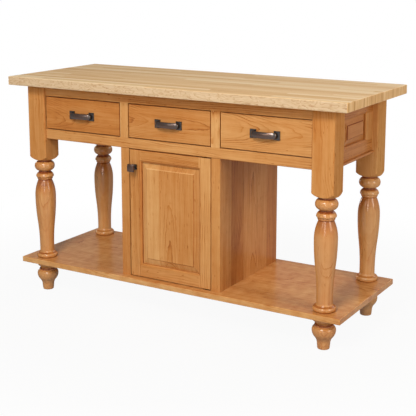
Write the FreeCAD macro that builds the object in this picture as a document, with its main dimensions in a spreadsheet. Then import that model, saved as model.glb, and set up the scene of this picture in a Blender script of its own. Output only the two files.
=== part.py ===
import FreeCAD, Part
import math
import os
import re

from FreeCAD import Rotation, Vector

# A free-standing kitchen island in stained hardwood. +Z is up, the drawers face -Y, and the
# origin lies on the floor under the middle of the worktop. All sizes are in millimetres.

# Driving sizes, each written once.
SIZES = {
    # worktop
    "island_height": 914,
    "top_length": 1494,
    "top_depth": 580,
    "top_thick": 35,
    "top_ease": 3,
    "end_overhang": 62,
    "side_overhang": 45,
    # legs: a square block above a turned column
    "leg_square": 86,
    "leg_corner": 5,
    "block_drop": 98,
    "pommel_rise": 21,
    "pommel_bulge": 4,
    "throat_radius": 28,
    "neck_height": 4,
    "ring_radius": 41.5,
    "ring_height": 41,
    "waist_radius": 24.5,
    "waist_height": 4,
    "collar_radius": 36.5,
    "collar_rise": 16,
    "collar_fall": 8,
    "bead_radius": 31.5,
    "bead_height": 10,
    "vase_radius": 42.8,
    "vase_shoulder": 68,
    "shank_radius": 29.5,
    "shank_height": 20,
    "flare_radius": 37,
    "flare_height": 11,
    "base_radius": 42.8,
    "base_height": 19,
    "base_round": 10,
    # turned feet below the lower shelf
    "foot_cap_radius": 40,
    "foot_cap_height": 15,
    "foot_cove_height": 12,
    "foot_neck_radius": 30,
    "foot_neck_height": 2,
    "foot_fillet_radius": 34.5,
    "foot_fillet_height": 5,
    "foot_bulb_radius": 44,
    "foot_bulb_drop": 16,
    "foot_ankle_radius": 24.2,
    "foot_ankle_height": 20,
    "foot_toe_radius": 22.5,
    "foot_sole_radius": 19,
    "bolt_radius": 5,
    "bolt_in_leg": 55,
    "bolt_in_foot": 45,
    "bolt_clear": 0.1,
    "bolt_end_room": 3,
    # lower shelf
    "shelf_lip_end": 44,
    "shelf_lip_side": 17,
    "shelf_thick": 22,
    "shelf_top": 144,
    "shelf_ease": 2.5,
    # drawer apron
    "stile_width": 38,
    "board_thick": 22,
    "top_rail": 41,
    "drawer_opening": 137,
    "bottom_rail": 41,
    "rail_round": 4,
    "front_recess": 10,
    "side_recess": 23,
    "panel_top_rail": 58,
    "panel_bottom_rail": 63,
    "panel_stile": 62,
    "nosing_out": 10,
    "nosing_height": 12,
    "nosing_round": 9,
    "tenon_thick": 8,
    "tenon_shoulder": 6,
    "long_tenon": 30,
    "short_tenon": 12,
    "tenon_end_room": 1,
    # raised panels and their grooves
    "sticking_width": 7.5,
    "sticking_depth": 4,
    "groove_back": 11,
    "groove_deep": 8,
    "tongue_thick": 5,
    "groove_clear": 0.2,
    "panel_room": 1,
    "panel_bevel": 22,
    "panel_recess": 2,
    "field_step": 2.8,
    # middle cabinet
    "cabinet_setback": 3,
    "cabinet_side_thick": 19,
    "cabinet_board": 18,
    "cabinet_back_thick": 12,
    "cabinet_top_setback": 4,
    "inner_shelf_height": 258,
    "inner_shelf_setback": 22,
    "inner_shelf_room": 1,
    "shelf_pin_radius": 2.5,
    "shelf_pin_out": 8,
    "shelf_pin_in": 8,
    "shelf_pin_inset": 60,
    "pin_clear": 0.1,
    # door
    "reveal": 3,
    "door_thick": 20,
    "door_stile": 53,
    "door_top_rail": 47,
    "door_bottom_rail": 54,
    "door_tenon": 12,
    "door_ease": 1.5,
    "pivot_from_edge": 10,
    "pivot_from_face": 5,
    "pivot_radius": 3,
    "pivot_length": 12,
    "pivot_clear": 0.05,
    "pivot_plate_thick": 2.5,
    "pivot_plate_length": 34,
    "pivot_plate_width": 14,
    "pivot_plate_margin": 3.5,
    "pivot_collar_radius": 5,
    "pivot_lift": 0.3,
    "socket_room": 0.5,
    # drawers
    "drawer_front_thick": 20,
    "front_ease": 2,
    "drawer_room_behind": 42,
    "drawer_box_height": 100,
    "drawer_box_lift": 16,
    "drawer_wall": 12,
    "drawer_bottom_thick": 6,
    "drawer_bottom_up": 10,
    "drawer_groove": 6,
    # telescopic slides and the bearers that carry them
    "slide_short": 6,
    "slide_height": 45,
    "slide_thick": 12.7,
    "slide_steel": 1.2,
    "slide_gap": 0.5,
    "slide_cup": 9,
    "slide_from_face": 24,
    "slide_centre_up": 59,
    "bearer_height": 50,
    "bearer_thick": 22,
    # pulls and knob
    "pull_centres": 96,
    "pull_projection": 28,
    "strap_thick": 8,
    "strap_height": 23,
    "strap_crown": 4,
    "strap_corner": 11,
    "strap_bow": 140,
    "pull_foot_width": 25,
    "pull_foot_height": 33,
    "pull_foot_thick": 5,
    "pull_foot_ease": 1.5,
    "knob_square": 30,
    "knob_projection": 34,
    "knob_cap_thick": 8,
    "knob_corner": 2,
    "knob_dome": 4.5,
    "knob_post_radius": 6,
    "knob_base": 21,
    "knob_base_thick": 4,
    "knob_from_edge": 24,
    "knob_from_top": 68,
    "screw_radius": 2,
    "screw_head_radius": 4,
    "screw_head_thick": 2.5,
    "screw_grip": 3.5,
    "screw_clear": 0.1,
}

# Places worked out from the sizes. Distances are from the middle of the island or the floor.
PLACES = {
    "leg_outer": "top_length / 2 - end_overhang",
    "leg_outer_y": "top_depth / 2 - side_overhang",
    "leg_inner": "leg_outer - leg_square",
    "leg_inner_y": "leg_outer_y - leg_square",
    "leg_x": "leg_outer - leg_square / 2",
    "leg_y": "leg_outer_y - leg_square / 2",
    "shelf_length": "2 * (leg_outer + shelf_lip_end)",
    "shelf_depth": "2 * (leg_outer_y + shelf_lip_side)",
    "opening_width": "(2 * leg_inner - 2 * stile_width) / 3",
    "bay_pitch": "opening_width + stile_width",
    "bay_edge": "opening_width / 2",
    "stile_outer": "bay_edge + stile_width",
    "under_top": "island_height - top_thick",
    "drawer_top": "under_top - top_rail",
    "drawer_base": "drawer_top - drawer_opening",
    "apron_base": "drawer_base - bottom_rail",
    "apron_height": "under_top - apron_base",
    "face_y": "leg_outer_y - front_recess",
    "side_x": "leg_outer - side_recess",
    "shelf_under": "shelf_top - shelf_thick",
    "tenon_y": "(board_thick - tenon_thick) / 2",
    "panel_open_height": "apron_height - panel_top_rail - panel_bottom_rail",
    "cabinet_y": "face_y - cabinet_setback",
    "cabinet_inner": "stile_outer - cabinet_side_thick",
    "cabinet_front": "cabinet_y - board_thick",
    "cabinet_height": "apron_base - shelf_top",
    "door_width": "opening_width - 2 * reveal",
    "door_height": "cabinet_height - 2 * reveal",
    "pivot_x": "door_width / 2 - pivot_from_edge",
    "pivot_y": "cabinet_y - pivot_from_face",
    "plate_x": "pivot_x - pivot_plate_length + pivot_from_edge - reveal",
    "plate_y": "pivot_y + pivot_plate_margin",
    "box_width": "opening_width - 2 * slide_thick",
    "drawer_box_depth": "2 * face_y - board_thick - drawer_front_thick - drawer_room_behind",
    "slide_length": "drawer_box_depth - slide_short",
    "slide_z": "drawer_base + slide_centre_up",
}

os.makedirs("parts", exist_ok=True)
doc = FreeCAD.newDocument("kitchen_island")
pieces = []


def fill_sheet(name, cells):
    """Writes one named cell per row, with its alias."""
    sheet = doc.addObject("Spreadsheet::Sheet", name)
    for row, (alias, content) in enumerate(cells.items(), start=1):
        sheet.set(f"A{row}", alias)
        sheet.set(f"B{row}", content)
        sheet.setAlias(f"B{row}", alias)
    doc.recompute()
    return sheet


def spelled(text, place_prefix="Places."):
    """The formula with each bare name led back to the sheet that holds it."""

    def with_sheet(match):
        word = match.group(0)
        if word in SIZES:
            return "Sizes." + word
        return place_prefix + word if word in PLACES else word

    return re.sub(r"[a-z][a-z_]*", with_sheet, str(text))


sizes = fill_sheet("Sizes", {alias: str(size) for alias, size in SIZES.items()})
places = fill_sheet("Places", {alias: "=" + spelled(text, "") for alias, text in PLACES.items()})


def size(alias):
    """A size or place as a number, for outlines that are drawn point by point."""
    return float(places.get(alias) if alias in PLACES else sizes.get(alias))


def bind(item, **formulas):
    """Binds properties to formulas; corner sets the three coordinates of a placement."""
    corner = formulas.pop("corner", None)
    for name, text in formulas.items():
        item.setExpression(name, spelled(text))
    for axis, text in zip("xyz", corner or ()):
        item.setExpression(f"Placement.Base.{axis}", spelled(text))
    return item


def new_body(label, corner=(0, 0, 0), turn=0):
    """An empty body whose frame stands at corner, turned about the vertical by turn degrees."""
    body = doc.addObject("PartDesign::Body", label)
    body.Label = label
    body.Placement.Rotation = Rotation(Vector(0, 0, 1), turn)
    return bind(body, corner=corner)


def box(body, extent, corner=(0, 0, 0), cut=False):
    """Adds a block to a body, or cuts one out of it."""
    block = body.newObject("PartDesign::SubtractiveBox" if cut else "PartDesign::AdditiveBox", "Block")
    return bind(block, Length=extent[0], Width=extent[1], Height=extent[2], corner=corner)


AXIS_TURNS = {
    "+X": Rotation(Vector(0, 1, 0), 90),
    "-X": Rotation(Vector(0, 1, 0), -90),
    "+Y": Rotation(Vector(1, 0, 0), -90),
    "-Y": Rotation(Vector(1, 0, 0), 90),
    "+Z": Rotation(),
    "-Z": Rotation(Vector(1, 0, 0), 180),
}


def rod(body, radius, length, start=(0, 0, 0), towards="+Z", cut=False):
    """Adds a round bar to a body, or bores one out of it."""
    kind = "PartDesign::SubtractiveCylinder" if cut else "PartDesign::AdditiveCylinder"
    bar = body.newObject(kind, "Bar")
    bar.Placement.Rotation = AXIS_TURNS[towards]
    return bind(bar, Radius=radius, Height=length, corner=start)


def taper(body, near, far, cut=False):
    """Adds or cuts a block whose face at the near depth grows or shrinks to its face at the far depth.
    Each is (depth, x low, x high, z low, z high)."""
    kind = "PartDesign::SubtractiveWedge" if cut else "PartDesign::AdditiveWedge"
    wedge = body.newObject(kind, "Taper")
    bind(wedge, Ymin=near[0], Xmin=near[1], Xmax=near[2], Zmin=near[3], Zmax=near[4])
    return bind(wedge, Ymax=far[0], X2min=far[1], X2max=far[2], Z2min=far[3], Z2max=far[4])


def ease(body, radius, chosen):
    """Rounds the edges of a body's solid whose middle and direction answer to chosen."""
    doc.recompute()
    solid = body.Tip
    names = []
    for number, edge in enumerate(solid.Shape.Edges, start=1):
        middle = edge.valueAt((edge.FirstParameter + edge.LastParameter) / 2)
        run = edge.tangentAt((edge.FirstParameter + edge.LastParameter) / 2)
        if isinstance(edge.Curve, Part.Line) and chosen(middle, run):
            names.append(f"Edge{number}")
    fillet = body.newObject("PartDesign::Fillet", "Ease")
    fillet.Base = (solid, names)
    return bind(fillet, Radius=radius)


def same(value, target):
    return abs(value - target) < 1e-3


def upright(run):
    return abs(run.z) > 0.999


def keep(item, label):
    """Notes a finished piece under the name of its file."""
    item.Label = label
    pieces.append(item)
    return item


def group(label, items):
    """One node made of several like solids."""
    bundle = doc.addObject("Part::Compound", label)
    bundle.Links = items
    return keep(bundle, label)


def board(label, extent, corner, turn=0):
    """A plain rectangular board, kept as it is."""
    body = new_body(label, corner, turn)
    box(body, extent)
    return keep(body, label)


def outline(body, curves, plane="XZ_Plane"):
    """An outline or a path drawn on one of the body's own planes."""
    sketch = body.newObject("Sketcher::SketchObject", "Outline")
    support = [part for part in body.Origin.OriginFeatures if part.Role == plane][0]
    sketch.AttachmentSupport = [(support, "")]
    sketch.MapMode = "FlatFace"
    sketch.addGeometry(curves, False)
    return sketch


class Turning:
    """The half outline of a turned piece, followed from a point down its surface."""

    def __init__(self, radius, height):
        self.start = Vector(radius, height, 0)
        self.at = self.start
        self.curves = []

    def line(self, radius, height):
        """A straight run, left out where it has no length."""
        end = Vector(radius, height, 0)
        if end.distanceToPoint(self.at) > 1e-6:
            self.curves.append(Part.LineSegment(self.at, end))
        self.at = end

    def arc(self, radius, height, bulge):
        """An arc whose middle stands off its chord by bulge, outwards where that is positive."""
        end = Vector(radius, height, 0)
        chord = end - self.at
        outwards = Vector(-chord.y, chord.x, 0).normalize()
        middle = (self.at + end) / 2 + outwards * bulge
        self.curves.append(Part.Arc(self.at, middle, end))
        self.at = end

    def close(self):
        """Runs in to the axis, up it and back to the start."""
        self.line(0, self.at.y)
        self.line(0, self.start.y)
        self.line(self.start.x, self.start.y)
        return self.curves


def turned(body, curves, plane="XZ_Plane", cut=False):
    """Spins a half outline about its plane's second axis, as wood or as waste."""
    sketch = outline(body, curves, plane)
    spin = body.newObject("PartDesign::Groove" if cut else "PartDesign::Revolution", "Spin")
    spin.Profile = sketch
    spin.ReferenceAxis = (sketch, ["V_Axis"])
    spin.Angle = 360


# Worktop: one thick slab glued up from edge-grain strips, with lightly eased arrises.
worktop = new_body("butcher_block_top", ("-top_length / 2", "-top_depth / 2", "under_top"))
box(worktop, ("top_length", "top_depth", "top_thick"))
ease(worktop, "top_ease", lambda middle, run: True)
keep(worktop, "butcher_block_top")


def leg_outline():
    """Block, pommel, ring, collar and bead, then a long vase above a flared base on the shelf."""
    throat = size("throat_radius")
    block_corner = size("leg_square") * math.sqrt(0.5)
    pommel_low = size("apron_base") - size("block_drop")
    shape = Turning(block_corner, size("under_top"))
    shape.line(block_corner, pommel_low + size("pommel_rise"))
    shape.arc(throat, pommel_low, size("pommel_bulge"))
    height = pommel_low - size("neck_height")
    shape.line(throat, height)
    height -= size("ring_height")
    shape.arc(size("waist_radius"), height, size("ring_radius") - (throat + size("waist_radius")) / 2)
    height -= size("waist_height")
    shape.line(size("waist_radius"), height)
    height -= size("collar_rise")
    shape.arc(size("collar_radius"), height, size("pommel_bulge") / 2)
    height -= size("collar_fall")
    shape.arc(size("bead_radius"), height, size("pommel_bulge") / 2)
    height -= size("bead_height")
    shape.arc(throat, height, size("pommel_bulge") / 2)
    vase = size("vase_radius")
    shank = size("shank_radius")
    shoulder = height - size("vase_shoulder")
    base = size("shelf_top") + size("base_height")
    flare = base + size("flare_height")
    shape.arc(vase, shoulder, tangent_bulge(vase - throat, size("vase_shoulder")))
    half_fall = (shoulder - flare - size("shank_height")) / 2
    half_inset = (vase - shank) / 2
    shape.arc(shank + half_inset, shoulder - half_fall, tangent_bulge(half_inset, half_fall))
    shape.arc(shank, shoulder - 2 * half_fall, -tangent_bulge(half_inset, half_fall))
    shape.line(shank, flare)
    shape.arc(size("flare_radius"), base, -tangent_bulge(size("flare_radius") - shank, size("flare_height")))
    lip = size("base_radius") - size("base_round") / 2
    shape.line(lip, base)
    shape.arc(lip, size("shelf_top"), size("base_round") / 2)
    return shape.close()


def tangent_bulge(inset, fall):
    """Height over its chord of an arc that starts upright and gains inset over fall."""
    radius = (inset ** 2 + fall ** 2) / (2 * inset)
    return radius - math.sqrt(radius ** 2 - (inset ** 2 + fall ** 2) / 4)


def mortise(stock, side, depth_axis, low, height, across):
    """Cuts a rail's mortise into a leg blank, from the face that looks towards the other leg."""
    long_one = depth_axis == "X"
    depth = ("long_tenon" if long_one else "short_tenon") + " + tenon_end_room"
    start = "-leg_square / 2" if side > 0 else f"leg_square / 2 - ({depth})"
    if long_one:
        box(stock, (depth, "tenon_thick", height), (start, across, low), cut=True)
    else:
        box(stock, ("tenon_thick", depth, height), (across, start, low), cut=True)


def leg(label, x_side, y_side):
    """A leg turned from square stock, bored below for its bolt and mortised for the rails."""
    stand = (f"{x_side} * leg_x", f"{y_side} * leg_y", 0)
    blank = new_body(label + "_turning", stand)
    turned(blank, leg_outline())
    stock = new_body(label + "_stock", stand)
    corner = ("-leg_square / 2", "-leg_square / 2", "shelf_top")
    box(stock, ("leg_square", "leg_square", "under_top - shelf_top"), corner)
    ease(stock, "leg_corner", lambda middle, run: upright(run))
    bore = "bolt_in_leg + bolt_end_room"
    rod(stock, "bolt_radius + bolt_clear", bore, (0, 0, "shelf_top"), cut=True)
    front = "leg_square / 2 - front_recess - tenon_y"
    across = f"-({front})" if y_side < 0 else f"{front} - tenon_thick"
    tops = ("top_rail", "bottom_rail") if y_side < 0 else ("panel_top_rail", "panel_bottom_rail")
    for rail, low in ((tops[0], f"under_top - {tops[0]}"), (tops[1], "apron_base")):
        shoulder = f"{low} + tenon_shoulder"
        mortise(stock, x_side, "X", shoulder, f"{rail} - 2 * tenon_shoulder", across)
    side = "leg_square / 2 - side_recess - tenon_y"
    across = f"{side} - tenon_thick" if x_side > 0 else f"-({side})"
    for rail, low in (("panel_top_rail", "under_top - panel_top_rail"), ("panel_bottom_rail", "apron_base")):
        shoulder = f"{low} + tenon_shoulder"
        mortise(stock, y_side, "Y", shoulder, f"{rail} - 2 * tenon_shoulder", across)
    solid = doc.addObject("Part::Common", label)
    solid.Base = blank
    solid.Tool = stock
    keep(solid, label)


def foot_outline():
    """A cap under the shelf, a cove, neck and fillet, then a bulb drawn down to a slim ankle."""
    height = size("shelf_under")
    cap = size("foot_cap_radius")
    shape = Turning(cap, height)
    height -= size("foot_cap_height")
    shape.line(cap, height)
    height -= size("foot_cove_height")
    neck = size("foot_neck_radius")
    shape.arc(neck, height, -tangent_bulge(cap - neck, size("foot_cove_height")))
    height -= size("foot_neck_height")
    shape.line(neck, height)
    shape.line(size("foot_fillet_radius"), height)
    height -= size("foot_fillet_height")
    shape.line(size("foot_fillet_radius"), height)
    bulb = size("foot_bulb_radius")
    belly = height - size("foot_bulb_drop")
    swell = bulb - size("foot_fillet_radius")
    shape.arc(bulb, belly, tangent_bulge(swell, size("foot_bulb_drop")))
    ankle = size("foot_ankle_radius")
    half_inset = (bulb - ankle) / 2
    half_fall = (belly - size("foot_ankle_height")) / 2
    shape.arc(ankle + half_inset, belly - half_fall, tangent_bulge(half_inset, half_fall))
    shape.arc(ankle, belly - 2 * half_fall, -tangent_bulge(half_inset, half_fall))
    sole_round = size("foot_toe_radius") - size("foot_sole_radius")
    shape.line(size("foot_toe_radius"), sole_round)
    shape.arc(size("foot_sole_radius"), 0, sole_round * (1 - math.sqrt(0.5)))
    return shape.close()


def foot(label, x_side, y_side):
    """A turned foot, bored above for the hanger bolt that draws it and the leg to the shelf."""
    body = new_body(label, (f"{x_side} * leg_x", f"{y_side} * leg_y", 0))
    turned(body, foot_outline())
    bore = "bolt_in_foot + bolt_end_room"
    rod(body, "bolt_radius + bolt_clear", bore, (0, 0, "shelf_under"), towards="-Z", cut=True)
    keep(body, label)


CORNERS = {
    "front_left": (-1, -1),
    "front_right": (1, -1),
    "back_left": (-1, 1),
    "back_right": (1, 1),
}

bolts = []
for corner_name, (x_side, y_side) in CORNERS.items():
    leg("leg_" + corner_name, x_side, y_side)
    foot("foot_" + corner_name, x_side, y_side)
    bolt = new_body("bolt_" + corner_name, (f"{x_side} * leg_x", f"{y_side} * leg_y", 0))
    bolt_length = "bolt_in_foot + shelf_thick + bolt_in_leg"
    rod(bolt, "bolt_radius", bolt_length, (0, 0, "shelf_under - bolt_in_foot"))
    bolts.append(bolt)
group("foot_hanger_bolts", bolts)

# Lower shelf: a glued plank that the legs stand on and the feet carry.
shelf = new_body("lower_shelf", ("-shelf_length / 2", "-shelf_depth / 2", "shelf_under"))
box(shelf, ("shelf_length", "shelf_depth", "shelf_thick"))
ease(shelf, "shelf_ease", lambda middle, run: True)
for x_side, y_side in CORNERS.values():
    hole = (f"shelf_length / 2 + {x_side} * leg_x", f"shelf_depth / 2 + {y_side} * leg_y", 0)
    rod(shelf, "bolt_radius + bolt_clear", "shelf_thick", hole, cut=True)
plate_corner = ("plate_x + shelf_length / 2", "shelf_depth / 2 - plate_y", "shelf_thick - pivot_plate_thick")
box(shelf, ("pivot_plate_length", "pivot_plate_width", "pivot_plate_thick"), plate_corner, cut=True)
keep(shelf, "lower_shelf")


# Aprons. Each is drawn as if it faced the front: x along it from its left end, y from its face
# to its back, z from its lower edge.
def apron_rail(label, frame, length, height, up, tenon):
    """A rail from leg to leg with a tenon on each end."""
    body = new_body(label, *frame)
    box(body, (length, "board_thick", height), (0, 0, up))
    tenon_height = f"{height} - 2 * tenon_shoulder"
    low = f"{up} + tenon_shoulder"
    box(body, (f"{length} + 2 * {tenon}", "tenon_thick", tenon_height), (f"-{tenon}", "tenon_y", low))
    return body


def fit_panel(body, opening):
    """Grooves a frame piece for a panel and bevels its arris along the opening, mitred at the corners.
    opening is (x low, x high, z low, z high)."""
    x_low, x_high, z_low, z_high = opening
    groove_width = f"{x_high} - ({x_low}) + 2 * groove_deep"
    groove_height = f"{z_high} - ({z_low}) + 2 * groove_deep"
    start = (f"{x_low} - groove_deep", "groove_back", f"{z_low} - groove_deep")
    box(body, (groove_width, "tongue_thick + groove_clear", groove_height), start, cut=True)
    wide = (f"{x_low} - sticking_width", f"{x_high} + sticking_width")
    wide += (f"{z_low} - sticking_width", f"{z_high} + sticking_width")
    taper(body, (0, *wide), ("sticking_depth", x_low, x_high, z_low, z_high), cut=True)


def raised_panel(label, frame, opening):
    """A panel held in the grooves by its tongue. A bevelled border and step raise its field."""
    x_low, x_high, z_low, z_high = opening
    body = new_body(label, *frame)
    seat = "groove_deep - panel_room"
    tongue_width = f"{x_high} - ({x_low}) + 2 * ({seat})"
    tongue_height = f"{z_high} - ({z_low}) + 2 * ({seat})"
    start = (f"{x_low} - ({seat})", "groove_back", f"{z_low} - ({seat})")
    box(body, (tongue_width, "tongue_thick", tongue_height), start)
    field = [f"{x_low} + panel_bevel", f"{x_high} - panel_bevel"]
    field += [f"{z_low} + panel_bevel", f"{z_high} - panel_bevel"]
    border = [f"{x_low} + panel_room", f"{x_high} - panel_room"]
    border += [f"{z_low} + panel_room", f"{z_high} - panel_room"]
    taper(body, ("panel_recess + field_step", *field), ("groove_back", *border))
    plateau = [f"{field[0]} + field_step", f"{field[1]} - field_step"]
    plateau += [f"{field[2]} + field_step", f"{field[3]} - field_step"]
    taper(body, ("panel_recess", *plateau), ("panel_recess + field_step", *field))
    return body


# Front apron: two rails tenoned into the legs and two narrow stiles that part three drawers.
front_frame = (("-leg_inner", "-face_y", "apron_base"), 0)
rail_span = "2 * leg_inner"
up = "apron_height - top_rail"
front_top = apron_rail("front_top_rail", front_frame, rail_span, "top_rail", up, "long_tenon")
keep(front_top, "front_top_rail")
front_bottom = apron_rail("front_bottom_rail", front_frame, rail_span, "bottom_rail", "0", "long_tenon")
ease(front_bottom, "rail_round", lambda middle, run: same(middle.y, 0) and same(middle.z, 0))
hinge_seat = ("plate_x + leg_inner", "face_y - plate_y", 0)
box(front_bottom, ("pivot_plate_length", "pivot_plate_width", "pivot_plate_thick"), hinge_seat, cut=True)
keep(front_bottom, "front_bottom_rail")
front_stiles = []
for name, low in (("left", "leg_inner - stile_outer"), ("right", "leg_inner + bay_edge")):
    stile = new_body("front_stile_" + name, *front_frame)
    box(stile, ("stile_width", "board_thick", "drawer_opening"), (low, 0, "bottom_rail"))
    front_stiles.append(stile)
group("front_stiles", front_stiles)

# End aprons: rails and stiles round one raised panel, with a nosing along the lower rail.
end_span = "2 * leg_inner_y"
end_opening = ("panel_stile", f"{end_span} - panel_stile")
end_opening += ("panel_bottom_rail", "apron_height - panel_top_rail")
END_FRAMES = {
    "left": (("-side_x", "leg_inner_y", "apron_base"), -90),
    "right": (("side_x", "-leg_inner_y", "apron_base"), 90),
}
end_stiles = []
for name, frame in END_FRAMES.items():
    up = "apron_height - panel_top_rail"
    rail = apron_rail(f"{name}_apron_top_rail", frame, end_span, "panel_top_rail", up, "short_tenon")
    fit_panel(rail, end_opening)
    keep(rail, f"{name}_apron_top_rail")
    label = f"{name}_apron_bottom_rail"
    rail = apron_rail(label, frame, end_span, "panel_bottom_rail", "0", "short_tenon")
    box(rail, (end_span, "nosing_out", "nosing_height"), (0, "-nosing_out", 0))
    nose = -size("nosing_out")
    ease(rail, "nosing_round", lambda middle, run: same(middle.y, nose) and same(middle.z, 0))
    fit_panel(rail, end_opening)
    keep(rail, label)
    for end, low in (("first", "0"), ("last", f"{end_span} - panel_stile")):
        stile = new_body(f"{name}_apron_{end}_stile", *frame)
        extent = ("panel_stile", "board_thick", "panel_open_height")
        box(stile, extent, (low, 0, "panel_bottom_rail"))
        fit_panel(stile, end_opening)
        end_stiles.append(stile)
    keep(raised_panel(f"{name}_apron_panel", frame, end_opening), f"{name}_apron_panel")
group("end_apron_stiles", end_stiles)

# Back apron: the same framing round three raised panels, its inner stiles behind the front ones.
back_frame = (("leg_inner", "face_y", "apron_base"), 180)
back_heights = ("panel_bottom_rail", "apron_height - panel_top_rail")
back_openings = [
    ("panel_stile", "leg_inner - stile_outer", *back_heights),
    ("leg_inner - bay_edge", "leg_inner + bay_edge", *back_heights),
    ("leg_inner + stile_outer", f"{rail_span} - panel_stile", *back_heights),
]
for label, height, up in (
    ("back_top_rail", "panel_top_rail", "apron_height - panel_top_rail"),
    ("back_bottom_rail", "panel_bottom_rail", "0"),
):
    rail = apron_rail(label, back_frame, rail_span, height, up, "long_tenon")
    for opening in back_openings:
        fit_panel(rail, opening)
    keep(rail, label)
back_stiles = []
stile_runs = [("0", "panel_stile"), ("leg_inner - stile_outer", "stile_width")]
stile_runs += [("leg_inner + bay_edge", "stile_width"), (f"{rail_span} - panel_stile", "panel_stile")]
for number, (low, width) in enumerate(stile_runs):
    stile = new_body(f"back_stile_{number}", *back_frame)
    box(stile, (width, "board_thick", "panel_open_height"), (low, 0, "panel_bottom_rail"))
    for opening in back_openings[max(number - 1, 0):number + 1]:
        fit_panel(stile, opening)
    back_stiles.append(stile)
group("back_stiles", back_stiles)
group("back_panels", [
    raised_panel(f"back_panel_{number}", back_frame, opening)
    for number, opening in enumerate(back_openings)
])

# Bearers from front to back at slide height, flush with the sides of the drawer openings.
bearers = []
bearer_z = "slide_z - bearer_height / 2"
for side in (-1, 1):
    inner_low = "bay_edge" if side > 0 else "-stile_outer"
    bearer = new_body("inner_bearer", (inner_low, "-(face_y - board_thick)", bearer_z))
    box(bearer, ("stile_width", "2 * (face_y - board_thick)", "bearer_height"))
    bearers.append(bearer)
    outer_low = "leg_inner" if side > 0 else "-leg_inner - bearer_thick"
    bearer = new_body("outer_bearer", (outer_low, "-leg_inner_y", bearer_z))
    box(bearer, ("bearer_thick", "2 * leg_inner_y", "bearer_height"))
    bearers.append(bearer)
group("slide_bearers", bearers)

# Middle cabinet: two stiles, two sides, a back and a top, standing on the shelf under the apron.
cabinet_depth = "face_y + cabinet_front"
cabinet_stiles = []
for side in (-1, 1):
    low = "bay_edge" if side > 0 else "-stile_outer"
    stile = new_body("cabinet_stile", (low, "-cabinet_y", "shelf_top"))
    box(stile, ("stile_width", "board_thick", "cabinet_height"))
    cabinet_stiles.append(stile)
group("cabinet_stiles", cabinet_stiles)
pin_spots = ("-cabinet_front + shelf_pin_inset", "face_y - cabinet_back_thick - shelf_pin_inset")
pin_z = "shelf_top + inner_shelf_height - shelf_pin_radius"
shelf_pins = []
for name, side in (("left", -1), ("right", 1)):
    label = "cabinet_side_" + name
    low = "cabinet_inner" if side > 0 else "-stile_outer"
    panel = new_body(label, (low, "-cabinet_front", "shelf_top"))
    box(panel, ("cabinet_side_thick", cabinet_depth, "cabinet_height"))
    inner_face = "0" if side > 0 else "cabinet_side_thick"
    outwards = "+X" if side > 0 else "-X"
    for spot in pin_spots:
        start = (inner_face, f"{spot} + cabinet_front", f"{pin_z} - shelf_top")
        rod(panel, "shelf_pin_radius + pin_clear", "shelf_pin_in", start, outwards, cut=True)
        pin = new_body("shelf_pin")
        start = (f"{side} * (cabinet_inner - shelf_pin_out)", spot, pin_z)
        rod(pin, "shelf_pin_radius", "shelf_pin_out + shelf_pin_in", start, outwards)
        shelf_pins.append(pin)
    keep(panel, label)
group("shelf_pins", shelf_pins)
inner_width = "2 * cabinet_inner"
back_face = "face_y - cabinet_back_thick"
back_corner = ("-cabinet_inner", back_face, "shelf_top")
board("cabinet_back", (inner_width, "cabinet_back_thick", "cabinet_height"), back_corner)
top_front = "cabinet_front - cabinet_top_setback"
top_extent = (inner_width, f"{back_face} + {top_front}", "cabinet_board")
board("cabinet_top", top_extent, ("-cabinet_inner", f"-({top_front})", "apron_base - cabinet_board"))
inner_front = "cabinet_front - inner_shelf_setback"
inner_extent = (f"{inner_width} - 2 * inner_shelf_room", f"{back_face} + {inner_front}", "cabinet_board")
inner_corner = ("-cabinet_inner + inner_shelf_room", f"-({inner_front})", "shelf_top + inner_shelf_height")
board("cabinet_shelf", inner_extent, inner_corner)

# Door: stiles and rails round a raised panel. It turns on a pin at the top and one at the bottom,
# set back from its right-hand edge and hidden in the gaps. x and z start at its lower left corner.
door_frame = (("-door_width / 2", "-cabinet_y", "shelf_top + reveal"), 0)
door_opening = ("door_stile", "door_width - door_stile", "door_bottom_rail", "door_height - door_top_rail")
door_edge_x = size("door_width")
door_edge_z = size("door_height")


def door_arris(middle, run):
    """The front edges along the outside of the door."""
    on_end = same(middle.z, 0) or same(middle.z, door_edge_z)
    on_side = same(middle.x, 0) or same(middle.x, door_edge_x)
    return same(middle.y, 0) and (on_end or on_side)


screw_bore = "screw_radius + screw_clear"
knob_spot = ("knob_from_edge", 0, "door_height - knob_from_top")
for name, low in (("left", "0"), ("right", "door_width - door_stile")):
    label = "door_stile_" + name
    stile = new_body(label, *door_frame)
    box(stile, ("door_stile", "door_thick", "door_height"), (low, 0, 0))
    ease(stile, "door_ease", door_arris)
    fit_panel(stile, door_opening)
    for up, height in (("0", "door_bottom_rail"), ("door_height - door_top_rail", "door_top_rail")):
        tenon_low = "door_stile - door_tenon" if name == "left" else low
        socket = (tenon_low, "groove_back", up)
        box(stile, ("door_tenon", "tongue_thick + groove_clear", height), socket, cut=True)
    if name == "left":
        rod(stile, screw_bore, "door_thick", knob_spot, "+Y", cut=True)
    else:
        pivot_at = ("door_width - pivot_from_edge", "pivot_from_face")
        socket_depth = "pivot_length + socket_room"
        for start, towards in (("0", "+Z"), ("door_height", "-Z")):
            rod(stile, "pivot_radius + socket_room", socket_depth, (*pivot_at, start), towards, cut=True)
        plate = ("pivot_plate_length", "pivot_plate_width", "pivot_plate_thick")
        seat = ("plate_x + door_width / 2", "cabinet_y - plate_y")
        for start in ("0", "door_height - pivot_plate_thick"):
            box(stile, plate, (*seat, start), cut=True)
    keep(stile, label)
rail_width = "door_width - 2 * door_stile"
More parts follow.
